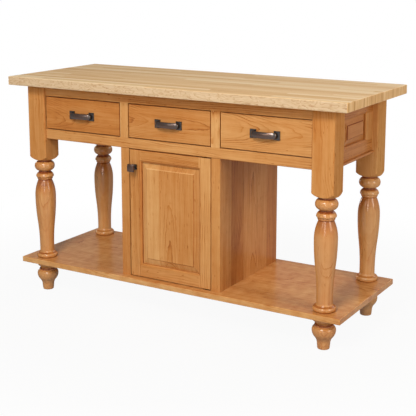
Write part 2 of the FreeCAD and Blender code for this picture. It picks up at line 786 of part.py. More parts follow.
for label, up, height in (
    ("door_bottom_rail", "0", "door_bottom_rail"),
    ("door_top_rail", "door_height - door_top_rail", "door_top_rail"),
):
    rail = new_body(label, *door_frame)
    box(rail, (rail_width, "door_thick", height), ("door_stile", 0, up))
    ease(rail, "door_ease", lambda middle, run: door_arris(middle, run) and abs(run.x) > 0.999)
    tenon_start = ("door_stile - door_tenon", "groove_back", up)
    box(rail, (f"{rail_width} + 2 * door_tenon", "tongue_thick", height), tenon_start)
    fit_panel(rail, door_opening)
    keep(rail, label)
keep(raised_panel("door_panel", door_frame, door_opening), "door_panel")

# Pivot hinges: a plate with a pin let into the rail above and one into the shelf below, each with
# a collar that the door's own plate turns against.
pins = []
sockets = []
pivot_frame = (("plate_x", "-plate_y", 0), 0)
pivot_local = ("pivot_x - plate_x", "pivot_plate_margin")
plate = ("pivot_plate_length", "pivot_plate_width", "pivot_plate_thick")
collar = "reveal - pivot_lift"
for level, fixed_low, door_low, towards in (
    ("shelf_top", "shelf_top - pivot_plate_thick", "shelf_top + reveal", "+Z"),
    ("apron_base", "apron_base", "apron_base - reveal - pivot_plate_thick", "-Z"),
):
    pin = new_body("pivot_pin", *pivot_frame)
    box(pin, plate, (0, 0, fixed_low))
    rod(pin, "pivot_collar_radius", collar, (*pivot_local, level), towards)
    rod(pin, "pivot_radius", "reveal + pivot_length", (*pivot_local, level), towards)
    pins.append(pin)
    socket = new_body("pivot_socket", *pivot_frame)
    box(socket, plate, (0, 0, door_low))
    bore = ("pivot_radius + pivot_clear", "pivot_plate_thick")
    rod(socket, *bore, (*pivot_local, door_low), cut=True)
    sockets.append(socket)
group("door_pivot_pins", pins)
group("door_pivot_sockets", sockets)


def screw(start, grip):
    """A pan-head machine screw that runs to the front from start, its head behind."""
    body = new_body("screw", start)
    rod(body, "screw_radius", grip, (0, 0, 0), "-Y")
    rod(body, "screw_head_radius", "screw_head_thick", (0, 0, 0), "+Y")
    return body


# Knob: a square cap with a domed face on a short post and a small square base, drawn up by a screw.
knob_x = "-door_width / 2 + knob_from_edge"
knob_z = "shelf_top + reveal + door_height - knob_from_top"
knob = new_body("knob", (knob_x, "-cabinet_y", knob_z))
cap_corner = ("-knob_square / 2", "-knob_projection", "-knob_square / 2")
box(knob, ("knob_square", "knob_cap_thick", "knob_square"), cap_corner)
ease(knob, "knob_corner", lambda middle, run: abs(run.y) > 0.999)
cap_face = -size("knob_projection")
cap_reach = size("knob_square") * math.sqrt(0.5)
waste = Turning(0, cap_face)
waste.arc(cap_reach, cap_face + size("knob_dome"), -tangent_bulge(size("knob_dome"), cap_reach))
waste.line(cap_reach, cap_face - size("knob_dome"))
turned(knob, waste.close(), "XY_Plane", cut=True)
base_corner = ("-knob_base / 2", "-knob_base_thick", "-knob_base / 2")
box(knob, ("knob_base", "knob_base_thick", "knob_base"), base_corner)
post_length = "knob_projection - knob_cap_thick / 2"
rod(knob, "knob_post_radius", post_length, (0, 0, 0), "-Y")
rod(knob, screw_bore, "screw_grip + screw_clear", (0, 0, 0), "-Y", cut=True)
knob_screw = screw((knob_x, "-cabinet_y + door_thick", knob_z), "door_thick + screw_grip")
group("door_knob", [knob, knob_screw])


def pull_path():
    """Straight out of one plate, round a corner, across in a slow bow and back into the other plate."""
    half = size("pull_centres") / 2
    corner = size("strap_corner")
    bow = size("strap_bow")
    crest = size("strap_thick") / 2 - size("pull_projection")
    reach = half - corner
    lean = math.asin(reach / (bow - corner))
    turn = crest + bow - (bow - corner) * math.cos(lean)
    elbow_lean = (lean + math.pi / 2) / 2
    foot = Vector(half, 0, 0)
    stem = Vector(half, turn, 0)
    elbow = Vector(reach + corner * math.sin(elbow_lean), turn - corner * math.cos(elbow_lean), 0)
    knee = Vector(bow * math.sin(lean), crest + bow - bow * math.cos(lean), 0)

    def other(point):
        return Vector(-point.x, point.y, 0)

    return [
        Part.LineSegment(foot, stem),
        Part.Arc(stem, elbow, knee),
        Part.Arc(knee, Vector(0, crest, 0), other(knee)),
        Part.Arc(other(knee), other(elbow), other(stem)),
        Part.LineSegment(other(stem), other(foot)),
    ]


def bow_pull(label, place):
    """A bowed strap with a crowned face, bent back at both ends to plates with eased edges."""
    body = new_body(label, place)
    sides = (-1, 1)
    for side in sides:
        low = f"{side} * pull_centres / 2 - pull_foot_width / 2"
        foot_corner = (low, "-pull_foot_thick", "-pull_foot_height / 2")
        box(body, ("pull_foot_width", "pull_foot_thick", "pull_foot_height"), foot_corner)
    plate_face = -size("pull_foot_thick")
    ease(body, "pull_foot_ease", lambda middle, run: same(middle.y, plate_face))
    half_height = size("strap_height") / 2
    outer = size("pull_centres") / 2 + size("strap_thick") / 2
    inner = outer - size("strap_thick")
    arris = outer - size("strap_crown")
    corners = [(arris, half_height), (inner, half_height), (inner, -half_height), (arris, -half_height)]
    points = [Vector(x, z, 0) for x, z in corners]
    edges = [Part.LineSegment(a, b) for a, b in zip(points, points[1:])]
    edges.append(Part.Arc(points[-1], Vector(outer, 0, 0), points[0]))
    strap = body.newObject("PartDesign::AdditivePipe", "Strap")
    strap.Profile = outline(body, edges)
    strap.Spine = (outline(body, pull_path(), "XY_Plane"), [""])
    strap.Transition = "Transformed"
    for side in sides:
        hole = (f"{side} * pull_centres / 2", 0, 0)
        rod(body, screw_bore, "screw_grip + screw_clear", hole, "-Y", cut=True)
    return body


def channel(label, place, extent, web, opens):
    """A steel channel along y whose web stands on the side away from its opening."""
    width, length, height = extent
    body = new_body(label, place)
    box(body, extent)
    hollow = (f"{width} - {web}", length, f"{height} - 2 * {web}")
    box(body, hollow, (web if opens == "+X" else "0", 0, web), cut=True)
    return body


def slide_member(bay, side, out, width, height, opens_in):
    """One member of a slide: out is how far it stands off the side of the bay."""
    edge = f"{bay} * bay_pitch + {side} * bay_edge"
    low = f"{edge} + {out}" if side < 0 else f"{edge} - ({out}) - ({width})"
    inwards = "+X" if side < 0 else "-X"
    outwards = "-X" if side < 0 else "+X"
    place = (low, "-face_y + slide_from_face", f"slide_z - ({height}) / 2")
    extent = (width, "slide_length", height)
    return channel("slide_member", place, extent, "slide_steel", inwards if opens_in else outwards)


# Drawers: a front between the stiles, a four-sided box with its bottom in a groove, a bow pull,
# and a three-part telescopic slide on each side.
middle_height = "slide_height - 2 * (slide_steel + slide_gap)"
drawer_height = "slide_height - 4 * (slide_steel + slide_gap)"
middle_off = "slide_steel + slide_gap"
drawer_off = "2 * (slide_steel + slide_gap)"
front_extent = ("opening_width - 2 * reveal", "drawer_front_thick", "drawer_opening - 2 * reveal")
box_front = "drawer_front_thick"
box_back = "drawer_front_thick + drawer_box_depth - drawer_wall"
inner_half = "(box_width / 2 - drawer_wall)"
bottom_up = "drawer_box_lift + drawer_bottom_up"
groove = (f"2 * ({inner_half} + drawer_groove)", "drawer_box_depth - 2 * (drawer_wall - drawer_groove)")
groove_corner = (f"-({inner_half} + drawer_groove)", "drawer_front_thick + drawer_wall - drawer_groove")
box_boards = (
    ("-box_width / 2", box_front, "drawer_wall", "drawer_box_depth"),
    (inner_half, box_front, "drawer_wall", "drawer_box_depth"),
    (f"-{inner_half}", box_front, f"2 * {inner_half}", "drawer_wall"),
    (f"-{inner_half}", box_back, f"2 * {inner_half}", "drawer_wall"),
)
cabinet_members = []
for drawer, bay in (("left", -1), ("middle", 0), ("right", 1)):
    place = (f"{bay} * bay_pitch", "-face_y", "drawer_base")
    front = new_body(drawer + "_drawer_front", place)
    box(front, front_extent, ("-bay_edge + reveal", 0, "reveal"))
    ease(front, "front_ease", lambda middle, run: same(middle.y, 0))
    boards = []
    for low_x, low_y, width, depth in box_boards:
        wall = new_body("drawer_wall", place)
        box(wall, (width, depth, "drawer_box_height"), (low_x, low_y, "drawer_box_lift"))
        box(wall, (*groove, "drawer_bottom_thick + groove_clear"), (*groove_corner, bottom_up), cut=True)
        boards.append(wall)
    for side in (-1, 1):
        hole = (f"{side} * pull_centres / 2", 0, "drawer_opening / 2")
        rod(front, screw_bore, "drawer_front_thick", hole, "+Y", cut=True)
        rod(boards[2], screw_bore, "drawer_front_thick + drawer_wall", hole, "+Y", cut=True)
    keep(front, drawer + "_drawer_front")
    group(drawer + "_drawer_box", boards)
    bottom = new_body(drawer + "_drawer_bottom", place)
    sheet_corner = (f"{groove_corner[0]} + groove_clear", f"{groove_corner[1]} + groove_clear", bottom_up)
    sheet = (f"{groove[0]} - 2 * groove_clear", f"{groove[1]} - 2 * groove_clear", "drawer_bottom_thick")
    box(bottom, sheet, sheet_corner)
    keep(bottom, drawer + "_drawer_bottom")
    pull_place = (place[0], place[1], "drawer_base + drawer_opening / 2")
    hardware = [bow_pull(drawer + "_bow", pull_place)]
    for side in (-1, 1):
        back = "-face_y + drawer_front_thick + drawer_wall"
        start = (f"{place[0]} + {side} * pull_centres / 2", back, pull_place[2])
        hardware.append(screw(start, "drawer_front_thick + drawer_wall + screw_grip"))
    group(drawer + "_drawer_pull", hardware)
    middle_members = []
    drawer_members = []
    for side in (-1, 1):
        cabinet_members.append(slide_member(bay, side, "0", "slide_cup", "slide_height", True))
        width = "slide_cup"
        middle_members.append(slide_member(bay, side, middle_off, width, middle_height, True))
        width = f"slide_thick - {drawer_off}"
        drawer_members.append(slide_member(bay, side, drawer_off, width, drawer_height, False))
    group(drawer + "_slide_middle_members", middle_members)
    group(drawer + "_slide_drawer_members", drawer_members)
group("slide_cabinet_members", cabinet_members)

doc.recompute()
for item in doc.Objects:
    if {"Invalid", "Error"} & set(item.State):
        raise RuntimeError(f"{item.Label} failed: {item.State}")
for item in pieces:
    if item.Shape.isNull() or not item.Shape.isValid():
        raise RuntimeError(f"{item.Label} has no valid shape")
for item in pieces:
    item.Shape.exportStep(f"parts/{item.Label}.step")
print(f"{len(pieces)} pieces written")
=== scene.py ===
import math
from collections import namedtuple

import bpy
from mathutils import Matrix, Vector

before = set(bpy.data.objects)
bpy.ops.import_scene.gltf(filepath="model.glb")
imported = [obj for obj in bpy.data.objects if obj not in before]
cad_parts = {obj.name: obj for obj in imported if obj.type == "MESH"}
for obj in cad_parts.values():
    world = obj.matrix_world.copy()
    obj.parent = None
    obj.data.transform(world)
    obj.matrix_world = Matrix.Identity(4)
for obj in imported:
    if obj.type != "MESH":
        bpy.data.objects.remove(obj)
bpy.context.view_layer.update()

# Turned legs and feet. Each leg is one square blank of stained cherry whose lower part is turned to a
# ring, a collar and a long vase; each foot is turned from the same stock and drawn up by a hanger
# bolt. The wood is sanded, stained honey brown and sprayed with a satin lacquer.


class Wire:
    """A shader socket that takes part in ordinary sums."""

    def __init__(self, graph, socket):
        self.graph = graph
        self.socket = socket

    def join(self, operation, first, second):
        return self.graph.node("ShaderNodeMath", {"operation": operation}, {0: first, 1: second})

    def __add__(self, other):
        return self.join("ADD", self, other)

    def __sub__(self, other):
        return self.join("SUBTRACT", self, other)

    def __rsub__(self, other):
        return self.join("SUBTRACT", other, self)

    def __mul__(self, other):
        return self.join("MULTIPLY", self, other)

    def __truediv__(self, other):
        return self.join("DIVIDE", self, other)

    def __pow__(self, other):
        return self.join("POWER", self, other)

    __radd__ = __add__
    __rmul__ = __mul__


class Graph:
    """A shader tree whose nodes are added by node()."""

    def __init__(self, tree):
        self.tree = tree
        tree.nodes.clear()

    def node(self, kind, settings=None, sockets=None, output=0):
        """Adds a node: its settings first, then the values or wires of its sockets."""
        made = self.tree.nodes.new(kind)
        for name, value in (settings or {}).items():
            if name == "stops":
                while len(made.color_ramp.elements) < len(value):
                    made.color_ramp.elements.new(0.5)
                for stop, (place, colour) in zip(made.color_ramp.elements, value):
                    stop.position = place
                    stop.color = (*colour, 1)
            else:
                setattr(made, name, value)
        for name, value in (sockets or {}).items():
            self.feed(made.inputs[name], value)
        return None if output is None else Wire(self, made.outputs[output])

    def feed(self, socket, value):
        """Links a wire to a socket, or writes a plain value there."""
        if isinstance(value, Wire):
            self.tree.links.new(value.socket, socket)
        else:
            socket.default_value = value

    def split(self, vector):
        parts = self.node("ShaderNodeSeparateXYZ", {}, {"Vector": vector}).socket.node
        return [Wire(self, socket) for socket in parts.outputs]

    def noise(self, x, y, z, detail):
        """Soft noise between 0 and 1 at a point whose coordinates are already scaled."""
        point = self.node("ShaderNodeCombineXYZ", {}, {0: x, 1: y, 2: z})
        return self.node("ShaderNodeTexNoise", {}, {"Vector": point, "Scale": 1.0, "Detail": detail})

    def chance(self, number):
        """A fixed draw between 0 and 1 for each whole number."""
        return self.node("ShaderNodeTexWhiteNoise", {"noise_dimensions": "1D"}, {"W": number})

    def floor(self, value):
        return self.node("ShaderNodeMath", {"operation": "FLOOR"}, {0: value})

    def step(self, value, low, high):
        """A soft step from 0 at low to 1 at high."""
        sockets = {"Value": value, "From Min": low, "From Max": high}
        return self.node("ShaderNodeMapRange", {"interpolation_type": "SMOOTHSTEP"}, sockets)

    def ramp(self, value, stops):
        return self.node("ShaderNodeValToRGB", {"stops": stops}, {"Fac": value})

    def blend(self, factor, first, second):
        sockets = {0: factor, 6: first, 7: second}
        return self.node("ShaderNodeMix", {"data_type": "RGBA"}, sockets, output=2)

    def bump(self, height, strength, depth):
        sockets = {"Height": height, "Strength": strength, "Distance": depth}
        return self.node("ShaderNodeBump", {}, sockets)


class Finish(Graph):
    """One surface finish: a material with a single surface shader."""

    def __init__(self, name, **constants):
        self.material = bpy.data.materials.new(name)
        self.material.use_nodes = True
        super().__init__(self.material.node_tree)
        self.surface = self.node("ShaderNodeBsdfPrincipled", {}, constants)
        self.output = self.tree.nodes.new("ShaderNodeOutputMaterial")
        self.feed(self.output.inputs["Surface"], self.surface)

    def wear(self, **surface):
        """Leads wires to the shader: colour, roughness, metallic, coat or normal."""
        names = {"colour": "Base Color", "roughness": "Roughness", "metallic": "Metallic"}
        names.update({"coat": "Coat Weight", "normal": "Normal"})
        for name, value in surface.items():
            self.feed(self.surface.socket.node.inputs[names[name]], value)

    def place(self):
        """The point on the piece in the island's own frame, as three wires."""
        return self.split(self.node("ShaderNodeTexCoord", output="Object"))

    def facing(self):
        """The way the surface faces, as three wires."""
        return self.split(self.node("ShaderNodeTexCoord", output="Normal"))


def shade(red, green, blue):
    """A screen colour as linear light."""
    parts = (red / 255, green / 255, blue / 255)
    return tuple(part / 12.92 if part <= 0.04045 else ((part + 0.055) / 1.055) ** 2.4 for part in parts)


CHERRY = [
    (0.0, shade(222, 177, 121)),
    (0.35, shade(203, 148, 90)),
    (0.65, shade(184, 119, 60)),
    (1.0, shade(136, 70, 31)),
]
STAIN_DEPTH = 0.40
LATE_WOOD_STAIN = 3.0
EARLY_WOOD_STAIN = 1.4
STREAK_STAIN = 0.40
FIBRE_STAIN = 0.24
CLOUD_STAIN = 0.30
FLECK_STAIN = 0.40
RING_RIPPLE = 0.0036
LOG_LENGTH = 3.7
LOG_WIDTHS = 1.5
WOOD_ROUGHNESS = 0.40
LACQUER_ROUGHNESS = 0.18
PORE_DEPTH = 0.0004


def stained_cherry(
    name, grain, heart, seed, tone=0.0, lean=0.03, waver=0.036, gap=0.006, figure=0.2, curly=0.16,
    boards=None, stain_and_painted_light=None, gloss=0.08, polish=None, index=1.5, sheen=0.05,
):
    """Lacquered cherry, cut from a log that runs along grain.

    heart: where the pith runs, as the two other coordinates in order.
    seed: a number that sets this wood apart from the others.
    tone: how much deeper the colour is all over, from stain and, on some pieces, painted shade.
    lean, waver: how far the log tapers and bends.
    gap: one year's growth.
    figure, curly: how far the rings and the cross figure show.
    boards: what the piece is glued up from: the side across the grain, left or up, that they lie
        along, their width, how far they differ in tone, and where one joint is.
    gather: a function for stain lying deeper in places, and for shade and light painted in.
    gloss, polish: the weight of the lacquer, and a function for where it is heavier.
    index, sheen: how strongly the lacquer and the bare wood mirror.
    """
    mirrors = {"Coat Roughness": LACQUER_ROUGHNESS, "Coat IOR": index, "Specular IOR Level": sheen}
    finish = Finish(name, **mirrors)
    x, y, z = finish.place()
    along, left, up = {"X": (x, y, z), "Y": (y, x, z), "Z": (z, x, y)}[grain]
    if boards:
        across = left if boards.side == "left" else up
        draw = finish.chance(finish.floor((across - boards.joint) / boards.width) + seed)
        tone = (draw - 0.5) * boards.spread + tone
        along = along + draw * LOG_LENGTH
        left = left + (draw - 0.5) * boards.width * LOG_WIDTHS
    if stain_and_painted_light:
        tone = stain_and_painted_light(finish, x, y, z) + tone
    left = left - heart[0]
    up = up - heart[1]

    def waves(along_rate, across_rate, detail, shift=0.0):
        """Noise about 0 that is drawn out along the grain, with its rates per metre."""
        point = (along * along_rate + shift, left * across_rate, up * across_rate)
        return finish.noise(*point, detail) - 0.5

    sway = waves(2.8, 7.0, 1.5, seed * 7.3)
    ripple = waves(22.0, 70.0, 2.0, seed * 3.1)
    radius = (left * left + up * up) ** 0.5 + along * lean + sway * waver + ripple * RING_RIPPLE
    growth = radius / gap
    late = (growth - finish.floor(growth)) ** 6.0
    strength = finish.step(finish.noise(radius * 60.0, along * 6.0 + seed, left * 14.0, 2.0), 0.40, 0.66)
    early = finish.noise(radius * 330.0, along * 1.8 + seed, 0.0, 2.0) - 0.5
    fibre = waves(13.0, 520.0, 3.0)
    streak = waves(2.6, 85.0, 3.0, seed)
    cloud = waves(3.0, 9.0, 1.0, -seed)
    curl = waves(30.0, 24.0, 3.0, seed)
    fleck = finish.step(waves(42.0, 300.0, 0.0, seed), 0.28, 0.36)
    ring = late * strength * figure * LATE_WOOD_STAIN + early * figure * EARLY_WOOD_STAIN
    mottle = streak * STREAK_STAIN + fibre * FIBRE_STAIN + cloud * CLOUD_STAIN + curl * curly
    depth = ring + mottle + fleck * FLECK_STAIN + STAIN_DEPTH + tone
    coat = gloss + cloud * gloss * 0.5
    if polish:
        coat = coat + polish(finish, x, y, z)
    finish.wear(
        colour=finish.ramp(depth, CHERRY),
        roughness=WOOD_ROUGHNESS + fibre * 0.16,
        coat=coat,
        normal=finish.bump(fibre * 0.6 - late * 0.25 - fleck * 0.5, 0.10, PORE_DEPTH),
    )
    return finish


def dress(finish, *nodes):
    """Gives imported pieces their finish."""
    for node in nodes:
        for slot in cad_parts[node].material_slots:
            slot.material = finish.material


def extent(node, axis):
    """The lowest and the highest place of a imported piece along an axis."""
    places = [vertex.co[axis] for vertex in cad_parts[node].data.vertices]
    return min(places), max(places)


def middle(node, axis):
    """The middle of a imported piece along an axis."""
    return sum(extent(node, axis)) / 2


X_AXIS, Y_AXIS, Z_AXIS = range(3)
LEG_TONES = {"front_left": 0.05, "front_right": 0.07, "back_left": -0.08, "back_right": -0.05}
LEG_PITH = (-0.042, 0.068)
LEG_INDEX = 3.0
BLOCK_GLOSS = 0.012
LATHE_GLOSS = 0.13
BLOCK_LOW = 0.570
RINGS_LOW = 0.475
RINGS_HIGH = 0.560
RING_SOFT = 0.006
HOLLOW_RADIUS = 0.031
HOLLOW_SOFT = 0.003
VASE_BELLY = 0.411
# Heights of the creases where the turned base and foot step in; painted shade lies there.
CREASES = ((0.142, 0.147), (0.162, 0.166), (0.089, 0.097))
CREASE_SOFT = 0.0015
# How deep the painted shade lies in the hollows and creases, and how much darker the vase's shoulder is.
HOLLOW_SHADE = 0.6
SHOULDER_DARKENING = 0.34
CREASE_SHADE = 0.33


def band(finish, value, low, high, soft):
    """1 between low and high, falling to 0 on both sides."""
    return finish.step(value, low - soft, low) * finish.step(value, high + soft, high)


def painted_shade_in_hollows(leg_x, leg_y):
    """Painted shade between the rings and in the creases of the base and foot, and a darker vase
    shoulder.
    """

    def stain_and_painted_light(finish, x, y, z):
        reach = ((x - leg_x) ** 2.0 + (y - leg_y) ** 2.0) ** 0.5
        hollow = finish.step(reach, HOLLOW_RADIUS + HOLLOW_SOFT, HOLLOW_RADIUS - HOLLOW_SOFT)
        hollow = hollow * band(finish, z, RINGS_LOW + RING_SOFT, RINGS_HIGH, RING_SOFT)
        shoulder = finish.step(z, VASE_BELLY, RINGS_LOW)
        shoulder = shoulder * finish.step(z, RINGS_LOW + RING_SOFT, RINGS_LOW)
        stain = hollow * HOLLOW_SHADE + shoulder * SHOULDER_DARKENING
        for low, high in CREASES:
            stain = stain + band(finish, z, low, high, CREASE_SOFT) * CREASE_SHADE
        return stain

    return stain_and_painted_light


def burnish_in_lathe(finish, x, y, z):
    """The turned part is burnished as it spins; the square block above it is not."""
    return finish.step(z, BLOCK_LOW, RINGS_HIGH) * LATHE_GLOSS


for number, (corner, tone) in enumerate(LEG_TONES.items()):
    leg_x = middle(f"leg_{corner}", X_AXIS)
    leg_y = middle(f"leg_{corner}", Y_AXIS)
    leg_wood = stained_cherry(
        f"cherry_leg_{corner}", "Z", heart=(leg_x + LEG_PITH[0], leg_y + LEG_PITH[1]), seed=2.0 + number,
        tone=tone, lean=0.035, gap=0.0052, figure=0.10, stain_and_painted_light=painted_shade_in_hollows(leg_x, leg_y),
        gloss=BLOCK_GLOSS, polish=burnish_in_lathe, index=LEG_INDEX, sheen=0.0,
    )
    dress(leg_wood, f"leg_{corner}", f"foot_{corner}")

ZINC_BLOOM = (*shade(176, 180, 186), 1)
ZINC_BRIGHT = (*shade(206, 207, 208), 1)


def zinc_plate(name):
    """Bright zinc plating with a faint blue-grey bloom and fine drawing marks along y."""
    finish = Finish(name, **{"Specular IOR Level": 0.5})
    x, y, z = finish.place()
    bloom = finish.noise(x * 90.0, y * 14.0, z * 90.0, 3.0)
    drawn = finish.noise(x * 1400.0, y * 18.0, z * 1400.0, 2.0)
    finish.wear(
        colour=finish.blend(bloom, ZINC_BLOOM, ZINC_BRIGHT),
        metallic=1.0,
        roughness=0.30 + (bloom - 0.5) * 0.2 + (drawn - 0.5) * 0.1,
        normal=finish.bump(drawn, 0.06, 0.0002),
    )
    return finish


zinc = zinc_plate("zinc_plated_steel")
dress(zinc, "foot_hanger_bolts")

# Lower shelf. A solid cherry plank glued up from four wide boards that run the length of the island;
# the legs stand on it, the feet carry it, and its edges are eased all round.
Boards = namedtuple("Boards", "side width spread joint")
shelf_front, shelf_back = extent("lower_shelf", Y_AXIS)
SHELF_BOARD = (shelf_back - shelf_front) / 4
GLUE_LINE = 0.0004
# How much paler the front board is, and the painted light on its front-facing edge.
PALE_BOARD = 0.10
PAINTED_EDGE_LIGHT = 0.18


def pale_board_and_painted_edge_light(finish, x, y, z):
    """The board at the front is paler; its front-facing edge is paler still, painted light on the lit
    side.
    """
    front_board = finish.step(y, GLUE_LINE - SHELF_BOARD, -GLUE_LINE - SHELF_BOARD)
    front_edge = finish.step(finish.facing()[Y_AXIS], -0.5, -0.7)
    return front_board * -PALE_BOARD - front_edge * PAINTED_EDGE_LIGHT


shelf_wood = stained_cherry(
    "cherry_shelf", "X", heart=(0.02, -0.06), seed=21.0, tone=0.13, lean=0.05, figure=0.14, curly=0.6,
    boards=Boards("left", SHELF_BOARD, spread=0.2, joint=0.0), stain_and_painted_light=pale_board_and_painted_edge_light, gloss=0.26,
)
dress(shelf_wood, "lower_shelf")

# Front apron. Two long rails tenoned into the legs with two short stiles between them, all cherry and
# all flush; the lower rail's bottom arris is rounded over.
# How much deeper the edges are: partly stain, partly painted shade for the gaps.
EDGE_STAIN_AND_SHADE = 0.30


def stain_and_shade_on_edges(finish, x, y, z):
    """Sawn edges and eased arrises drink more stain than the planed face, and add painted shade in gaps.
    """
    face = finish.facing()[Y_AXIS]
    return finish.step(face * face, 0.95, 0.6) * EDGE_STAIN_AND_SHADE


# Painted shade: the top rail's stain is set deeper to darken it as under the worktop's overhang.
front_top_wood = stained_cherry(
    "cherry_front_top_rail", "X", heart=(-0.06, 1.06), seed=31.0, tone=0.12, lean=0.012,
    stain_and_painted_light=stain_and_shade_on_edges,
)
dress(front_top_wood, "front_top_rail")
front_bottom_wood = stained_cherry(
    "cherry_front_bottom_rail", "X", heart=(-0.05, 0.52), seed=32.0, lean=0.014, stain_and_painted_light=stain_and_shade_on_edges,
)
dress(front_bottom_wood, "front_bottom_rail")
front_stile_wood = stained_cherry(
    "cherry_front_stiles", "Z", heart=(0.02, 0.05), seed=33.0, tone=-0.06,
    boards=Boards("left", width=0.30, spread=0.12, joint=0.15), stain_and_painted_light=stain_and_shade_on_edges,
)
dress(front_stile_wood, "front_stiles")

# End aprons. Rails and stiles round a raised panel, set well back between the legs, with a rounded
# nosing worked on the lower rail. All are stained cherry with the grain along each piece.
SIDES = {"left": -1, "right": 1}
# Painted shade: the end aprons are made darker all over, as the island's ends lie in shade.
END_SHADE_TONE = 0.20
# Painted shade on the apron panels' field step: how dark its sides and its top are.
APRON_STEP_SHADE = {"sides": 0.5, "top": 0.4}


def painted_light_at_step(axis, sides, top):
    """Painted shade on the step round the field of a panel that faces along axis: on its sides and top.
    """

    # A top below zero lightens the top instead: a painted highlight.
    def stain_and_painted_light(finish, x, y, z):
        facing = finish.facing()
        slope = finish.step(facing[axis] * facing[axis], 0.8, 0.6)
        return slope * (finish.step(facing[Z_AXIS], 0.5, 0.3) * (sides - top) + top)

    return stain_and_painted_light


for number, (side, sign) in enumerate(SIDES.items()):
    end_rail_wood = stained_cherry(
        f"cherry_{side}_apron_rails", "Y", heart=(sign * 0.50, 0.60), seed=41.0 + number, tone=END_SHADE_TONE,
        lean=0.02,
    )
    dress(end_rail_wood, f"{side}_apron_top_rail", f"{side}_apron_bottom_rail")
    end_panel_wood = stained_cherry(
        f"cherry_{side}_apron_panel", "Y", heart=(sign * 0.52, 0.76), seed=43.0 + number, tone=END_SHADE_TONE,
        lean=0.06, figure=0.14, stain_and_painted_light=painted_light_at_step(X_AXIS, **APRON_STEP_SHADE),
    )
    dress(end_panel_wood, f"{side}_apron_panel")
end_stile_wood = stained_cherry(
    "cherry_end_stiles", "Z", heart=(0.02, 0.02), seed=46.0, tone=0.14,
    boards=Boards("up", width=0.20, spread=0.1, joint=0.1),
)
dress(end_stile_wood, "end_apron_stiles")

# Back apron. Two long cherry rails and the stiles between them, tongued and grooved round three raised
# panels and tenoned into the back legs, with the same stain and lacquer as the ends.
back_wood = stained_cherry(
    "cherry_back_rails", "X", heart=(0.08, 0.55), seed=51.0, tone=0.06, lean=0.015,
)
dress(back_wood, "back_top_rail", "back_bottom_rail")
back_panel_wood = stained_cherry(
    "cherry_back_panels", "X", heart=(0.11, 0.70), seed=52.0, tone=0.06, lean=0.04, figure=0.1,
    stain_and_painted_light=painted_light_at_step(Y_AXIS, **APRON_STEP_SHADE),
)
dress(back_panel_wood, "back_panels")
back_stile_wood = stained_cherry(
    "cherry_back_stiles", "Z", heart=(0.02, 0.10), seed=53.0, tone=0.04,
    boards=Boards("left", width=0.25, spread=0.12, joint=0.125),
)
dress(back_stile_wood, "back_stiles")

# Middle cabinet. Two face stiles, two sides glued up from upright boards, a back, a top and one loose
# shelf on pins; the inside is cherry under the same lacquer without the stain's darkest coat.
for number, (side, sign) in enumerate(SIDES.items()):
    side_wood = stained_cherry(
        f"cherry_cabinet_side_{side}", "Z", heart=(sign * 0.10, 0.03), seed=61.0 + number, tone=0.14,
        lean=0.05, boards=Boards("up", width=0.098, spread=0.24, joint=-0.147),
    )
    dress(side_wood, f"cabinet_side_{side}")
cabinet_stile_wood = stained_cherry(
    "cherry_cabinet_stiles", "Z", heart=(0.04, -0.04), seed=63.0, tone=0.16, figure=0.08,
    boards=Boards("left", width=0.30, spread=0.1, joint=0.15),
)
dress(cabinet_stile_wood, "cabinet_stiles")
inner_wood = stained_cherry(
    "cherry_cabinet_inside", "X", heart=(0.04, 0.10), seed=64.0, tone=-0.04, lean=0.05,
    boards=Boards("left", width=0.11, spread=0.2, joint=0.0),
)
dress(inner_wood, "cabinet_top", "cabinet_shelf")
cabinet_back_wood = stained_cherry(
    "cherry_cabinet_back", "Z", heart=(0.02, 0.10), seed=65.0, lean=0.05,
    boards=Boards("left", width=0.12, spread=0.2, joint=0.0),
)
dress(cabinet_back_wood, "cabinet_back")
bearer_wood = stained_cherry("cherry_bearers", "Y", heart=(0.05, 0.66), seed=66.0, lean=0.02)
dress(bearer_wood, "slide_bearers")
dress(zinc, "shelf_pins")

# Door. Stiles and rails round a raised panel, tongued and grooved together; the panel's border is
# bevelled on the spindle and its field stands up by a small step. It turns on hidden pivot pins.
DOOR_TONES = {"stile_left": 0.06, "stile_right": -0.03, "top_rail": 0.14, "bottom_rail": 0.03}
STILE_HEART = (0.03, -0.10)
RAIL_HEART = (-0.08, 0.30)
PANEL_JOINT = -0.05
PANEL_SPREAD = 0.20
STEP_GLOSS = 0.6
# Painted shade on the sides of the door panel's step, and a painted highlight on its top.
shade_and_highlight_at_door_step = painted_light_at_step(Y_AXIS, sides=0.30, top=-0.30)


def two_boards_and_step_light(finish, x, y, z):
    """The panel is glued up from a pale board and a darker one, with painted shade on the step's sides.
    """
    darker = finish.step(x, PANEL_JOINT - GLUE_LINE, PANEL_JOINT + GLUE_LINE)
    return darker * PANEL_SPREAD - PANEL_SPREAD / 2 + shade_and_highlight_at_door_step(finish, x, y, z)


def glint_on_step(finish, x, y, z):
    """The top of the step is rubbed smooth between coats."""
    facing = finish.facing()
    slope = finish.step(facing[Y_AXIS] * facing[Y_AXIS], 0.8, 0.6)
    return slope * finish.step(facing[Z_AXIS], 0.3, 0.5) * STEP_GLOSS


for number, (piece, tone) in enumerate(DOOR_TONES.items()):
    grain, heart = ("Z", STILE_HEART) if "stile" in piece else ("X", RAIL_HEART)
    door_wood = stained_cherry(
        f"cherry_door_{piece}", grain, heart, seed=71.0 + number, tone=tone, lean=0.02,
        stain_and_painted_light=stain_and_shade_on_edges,
    )
    dress(door_wood, f"door_{piece}")
door_panel_wood = stained_cherry(
    "cherry_door_panel", "Z", heart=(0.0, -0.185), seed=76.0, lean=0.03, waver=0.008, gap=0.005,
    figure=0.16, stain_and_painted_light=two_boards_and_step_light, polish=glint_on_step,
)
dress(door_panel_wood, "door_panel")

